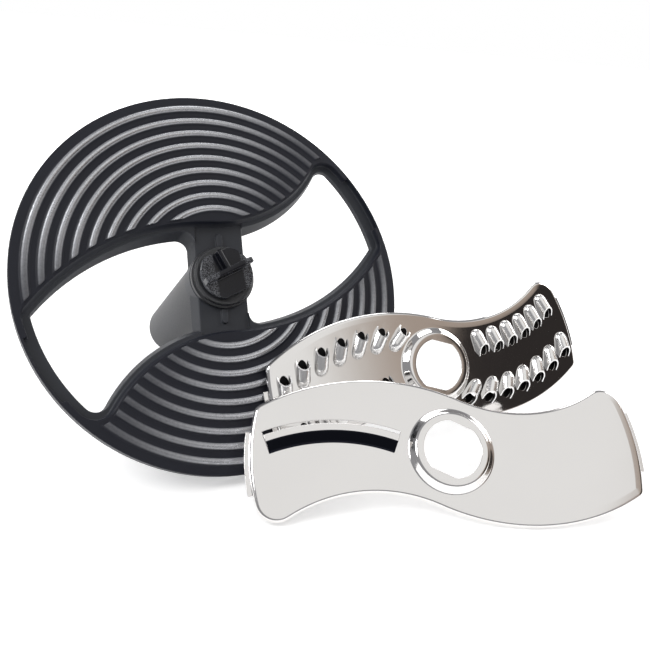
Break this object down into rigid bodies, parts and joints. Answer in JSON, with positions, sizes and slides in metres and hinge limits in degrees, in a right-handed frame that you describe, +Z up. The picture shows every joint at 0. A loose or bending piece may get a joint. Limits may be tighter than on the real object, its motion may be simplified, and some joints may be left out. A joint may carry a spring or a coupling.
{
  "type": "food processor insert carrier",
  "caption": "Ridged round carrier disc on a long drive sleeve with a locking knob, leaning with a loose S-shaped grating insert and a slicing insert, for shredding and slicing food.",
  "frame": {"origin": "on the table, under the middle of the group's bounding box", "axes": "+Z up, +X along the group from the carrier to the inserts, +Y away from the viewer"},
  "size_m": [0.2648, 0.1524, 0.1393],
  "materials": {
    "carrier_plastic": "satin",
    "sleeve_plastic": "satin",
    "collar_plastic": "satin",
    "knob_plastic": "satin",
    "insert_steel": "satin",
    "grater_steel": "polished",
    "fastener_steel": "satin"
  },
  "bodies": {
    "carrier": {"carrier_disc": "carrier_plastic", "drive_sleeve": "sleeve_plastic", "drive_bush": "collar_plastic", "boss_collar": "collar_plastic"},
    "knob": {"locking_knob": "knob_plastic", "knob_spring_washer": "fastener_steel", "knob_washer": "fastener_steel", "knob_screw": "fastener_steel"},
    "slicer": {"slicing_insert": "insert_steel"},
    "grater": {"grating_insert": "grater_steel"}
  },
  "joints": [
    {"name": "knob_turn", "type": "hinge", "parent": "carrier", "child": "knob", "pos_m": [-0.05199, -0.00206, 0.07161], "axis": [0.4029, -0.6867, 0.605], "range_deg": [-51, 39]},
    {"name": "slicer_lift", "type": "slide", "parent": "carrier", "child": "slicer", "axis": [0.0811, -0.6241, 0.7771], "range_m": [0, 0.08]},
    {"name": "grater_lift", "type": "slide", "parent": "carrier", "child": "grater", "axis": [0.6958, 0.5939, 0.4039], "range_m": [0, 0.12]}
  ]
}
